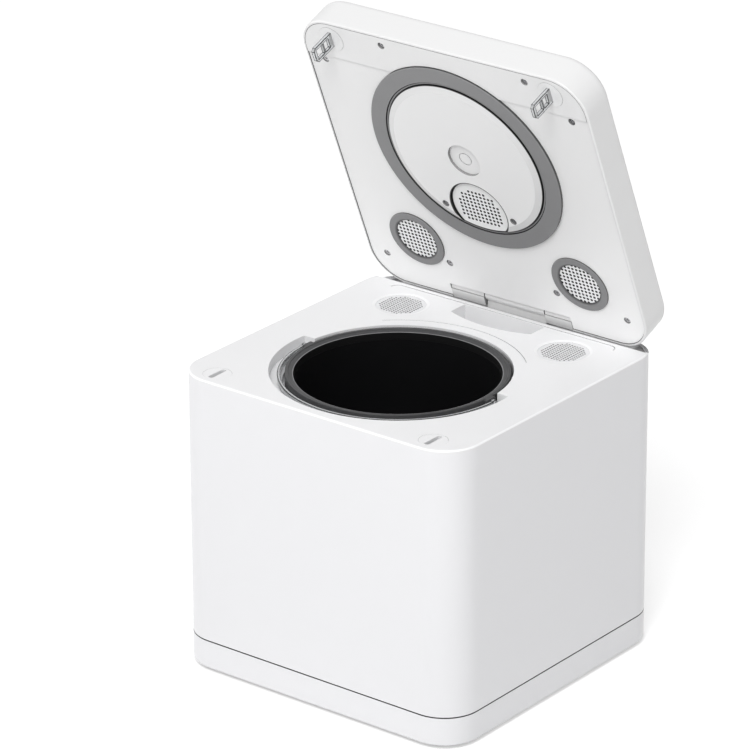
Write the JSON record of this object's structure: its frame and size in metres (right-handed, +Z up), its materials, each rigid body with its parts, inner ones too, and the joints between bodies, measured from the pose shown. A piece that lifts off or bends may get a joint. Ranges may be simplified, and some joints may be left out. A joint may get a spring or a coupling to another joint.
{
  "type": "electric food waste composter",
  "caption": "Square countertop food waste composter with a sprung hinged lid, lift-out bucket with a clear bail, geared stirring blade, heated well, filters and fan.",
  "frame": {"origin": "on the ground, in the middle of the area that the whole object covers with its lid open; the housing's own middle is 6.3 mm in front of it", "axes": "+Z up, -Y is the front where the lid's hooks lock, +Y is the back with the hinge, +X is the right-hand side seen from the front"},
  "size_m": [0.3, 0.3126, 0.5578],
  "materials": {
    "white_shell": "satin moulded",
    "white_inner": "satin moulded",
    "silicone": "matte",
    "rim_plastic": "satin",
    "pot_coating": "glossy non-stick coat",
    "clear_plastic": "clear",
    "grey_plastic": "moulded",
    "black_plastic": "moulded",
    "panel_gloss": "glossy",
    "button_grey": "glossy",
    "lens": "clear",
    "foot_rubber": "matte",
    "steel": "bright",
    "aluminium": "pressed sheet",
    "cast_alloy": "as cast",
    "bronze": "sintered",
    "motor_can": "plated",
    "gear_plastic": "moulded",
    "felt": "felt",
    "carbon": "granular",
    "board": "lacquered"
  },
  "bodies": {
    "housing": {"base_tray": "white_shell", "rubber_feet": "foot_rubber", "base_screws": "steel", "housing_shell": "white_shell", "deck_panel": "white_shell", "deck_grilles": "white_inner", "slot_plates": "white_inner", "well_liner": "aluminium", "insulation_sleeve": "felt", "heater_plate": "steel", "carbon_filters": "carbon", "exhaust_duct": "grey_plastic", "fan_housing": "black_plastic", "rear_grille": "grey_plastic", "gearbox_housing": "cast_alloy", "gearbox_cover": "cast_alloy", "shaft_bearings": "bronze", "drive_motor": "motor_can", "power_inlet": "black_plastic", "power_board": "board", "lock_solenoids": "motor_can", "hinge_bracket": "white_inner", "hinge_pin": "steel", "filter_canister_left": "grey_plastic", "filter_canister_right": "grey_plastic"},
    "lid": {"lid_cover": "white_shell", "lid_inner_panel": "white_inner", "lid_screws": "steel", "main_gasket": "silicone", "inner_disc": "white_inner", "hub_cap": "white_inner", "centre_grille": "white_inner", "hook_bases": "white_inner", "air_duct": "black_plastic", "control_panel": "panel_gloss", "indicator_lenses": "lens", "control_board": "board", "lid_springs": "steel", "vent_ring_left": "silicone", "vent_ring_right": "silicone", "vent_grille_left": "white_inner", "vent_grille_right": "white_inner", "latch_hook_left": "clear_plastic", "latch_hook_right": "clear_plastic", "hinge_barrel_left": "white_inner", "hinge_barrel_right": "white_inner"},
    "button": {"start_button": "button_grey"},
    "bucket": {"bucket_pot": "pot_coating", "bucket_rim": "rim_plastic", "handle_pins": "steel", "shaft_seal": "silicone"},
    "bail": {"bail_handle": "clear_plastic"},
    "blade": {"blade_shaft": "steel", "mixing_blade": "cast_alloy"},
    "drive": {"drive_gear": "gear_plastic", "output_shaft": "steel"},
    "pinion": {"motor_pinion": "steel"},
    "fan": {"fan_impeller": "black_plastic"},
    "bolt_left": {"lock_bolt_left": "steel"},
    "bolt_right": {"lock_bolt_right": "steel"}
  },
  "joints": [
    {"name": "lid_hinge", "type": "hinge", "parent": "housing", "child": "lid", "pos_m": [0, 0.1324, 0.2846], "axis": [-1, 0, 0], "range_deg": [-67.5, 0], "stiffness_Nm_per_rad": 1.3, "springref_deg": 42.97},
    {"name": "button_press", "type": "slide", "parent": "lid", "child": "button", "axis": [0, -0.9239, -0.3827], "range_m": [0, 0.0014], "stiffness_N_per_m": 600, "springref_m": -0.002},
    {"name": "bucket_lift", "type": "slide", "parent": "housing", "child": "bucket", "axis": [0, 0, 1], "range_m": [0, 0.14]},
    {"name": "bail_swing", "type": "hinge", "parent": "bucket", "child": "bail", "pos_m": [0, -0.0363, 0.2688], "axis": [-1, 0, 0], "range_deg": [0, 90]},
    {"name": "drive_spin", "type": "hinge", "parent": "housing", "child": "drive", "pos_m": [0, -0.0363, 0.057], "axis": [0, 0, 1], "continuous": true},
    {"name": "pinion_spin", "type": "hinge", "parent": "housing", "child": "pinion", "pos_m": [0, 0.0177, 0.057], "axis": [0, 0, 1], "continuous": true},
    {"name": "blade_spin", "type": "hinge", "parent": "bucket", "child": "blade", "pos_m": [0, -0.0363, 0.12], "axis": [0, 0, 1], "continuous": true},
    {"name": "fan_spin", "type": "hinge", "parent": "housing", "child": "fan", "pos_m": [0, 0.1307, 0.16], "axis": [0, 1, 0], "continuous": true},
    {"name": "bolt_right_slide", "type": "slide", "parent": "housing", "child": "bolt_right", "axis": [1, 0, 0], "range_m": [0, 0.0085], "stiffness_N_per_m": 150, "springref_m": -0.004},
    {"name": "bolt_left_slide", "type": "slide", "parent": "housing", "child": "bolt_left", "axis": [-1, 0, 0], "range_m": [0, 0.0085], "stiffness_N_per_m": 150, "springref_m": -0.004}
  ],
  "couplings": [
    {"joint": "pinion_spin", "follows": "drive_spin", "ratio": -3},
    {"joint": "blade_spin", "follows": "drive_spin", "ratio": 1},
    {"joint": "bolt_left_slide", "follows": "bolt_right_slide", "ratio": 1}
  ]
}
